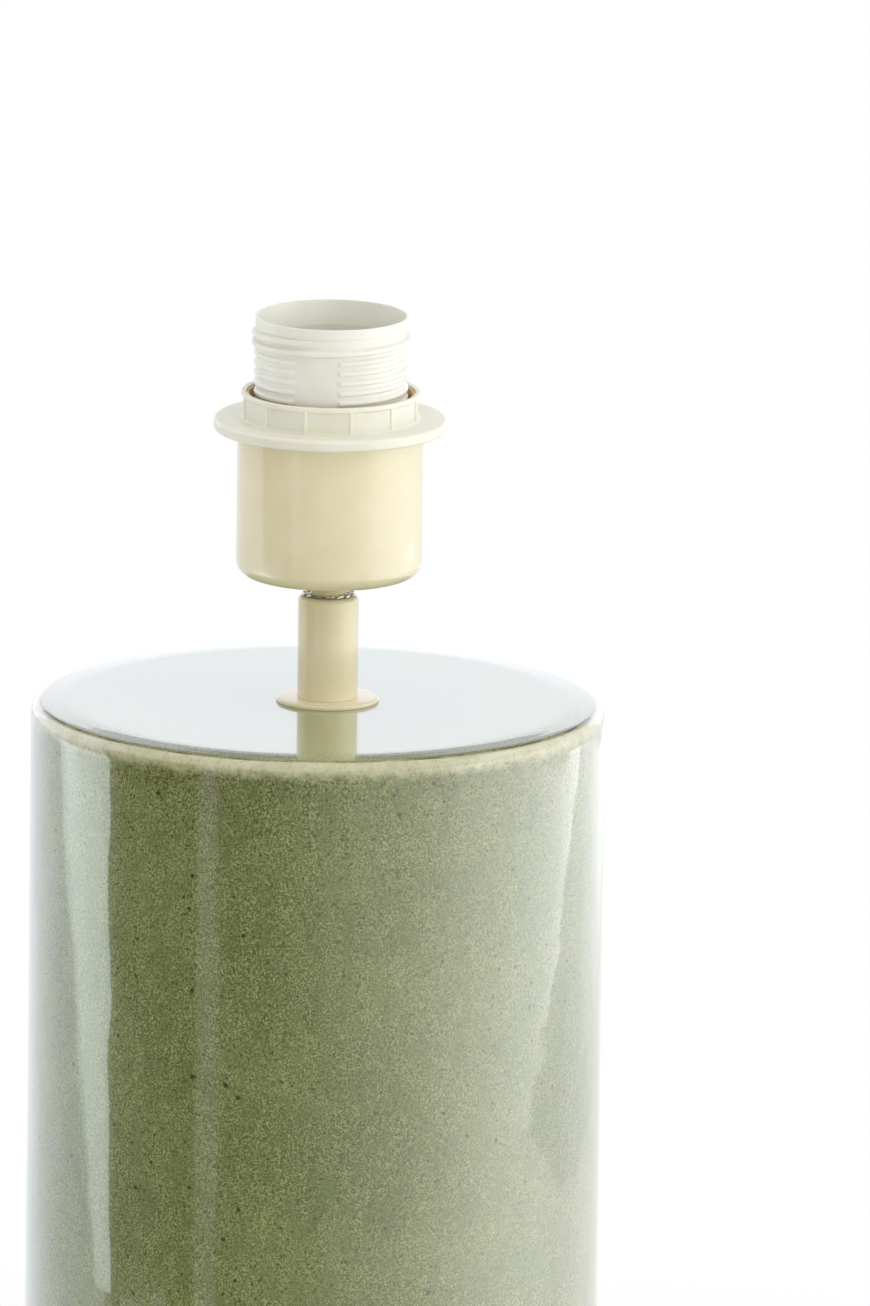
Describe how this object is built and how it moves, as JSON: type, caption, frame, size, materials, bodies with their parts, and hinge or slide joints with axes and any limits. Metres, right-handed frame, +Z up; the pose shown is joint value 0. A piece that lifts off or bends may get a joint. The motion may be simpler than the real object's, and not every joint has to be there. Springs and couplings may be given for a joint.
{
  "type": "table lamp base",
  "caption": "Glazed ceramic cylinder table lamp base with a painted stem and cup, an E27 screw lampholder and a threaded ring that clamps a shade.",
  "frame": {"origin": "on the table under the middle of the ceramic cylinder", "axes": "+Z up along the lamp; -Y is the front, the side with the blank panel of the lampholder; +Y is the back, where the cable leaves low down"},
  "size_m": [0.142, 0.1432, 0.3497],
  "materials": {
    "glaze": "glossy speckled sage-green glaze",
    "pad_rubber": "matte",
    "grommet_rubber": "satin",
    "zinc": "bright zinc plate",
    "cream_paint": "semi-gloss cream paint",
    "white_plastic": "moulded white thermoplastic, low gloss",
    "tan_fibre": "matte fibre",
    "carrier_plastic": "matte",
    "shell_metal": "nickelled brass, bright",
    "brass": "bright"
  },
  "bodies": {
    "base": {"ceramic_body": "glaze", "foot_pads": "pad_rubber", "cable_grommet": "grommet_rubber", "inner_rubber_washer": "grommet_rubber", "inner_steel_washer": "zinc", "inner_lock_washer": "zinc", "inner_hex_nut": "zinc", "threaded_tube": "cream_paint", "neck_rosette": "cream_paint", "neck_tube": "cream_paint", "neck_lock_washer": "zinc", "cup_nut": "zinc", "cup": "cream_paint", "holder_dome": "white_plastic", "dome_lock_screw": "zinc", "holder_skirt": "white_plastic", "contact_carrier": "carrier_plastic", "screw_shell": "shell_metal", "contact_foot": "brass", "side_contact": "brass", "contact_rivets": "brass", "terminal_blocks": "brass", "terminal_screws": "zinc"},
    "liner": {"ring_liner": "tan_fibre"},
    "ring": {"shade_ring": "white_plastic"},
    "contact_tongue": {"centre_contact": "brass"}
  },
  "joints": [
    {"name": "ring_climb", "type": "slide", "parent": "base", "child": "liner", "axis": [0, 0, 1], "range_m": [0, 0.02874]},
    {"name": "ring_turn", "type": "hinge", "parent": "liner", "child": "ring", "pos_m": [0.0023, 0, 0.3256], "axis": [0, 0, 1], "range_deg": [0, 4140]},
    {"name": "contact_press", "type": "hinge", "parent": "base", "child": "contact_tongue", "pos_m": [-0.0032, 0, 0.3153], "axis": [0, 1, 0], "range_deg": [0, 12], "stiffness_Nm_per_rad": 0.05}
  ],
  "couplings": [
    {"joint": "ring_turn", "follows": "ring_climb", "rad_per_m": 2513.3}
  ]
}
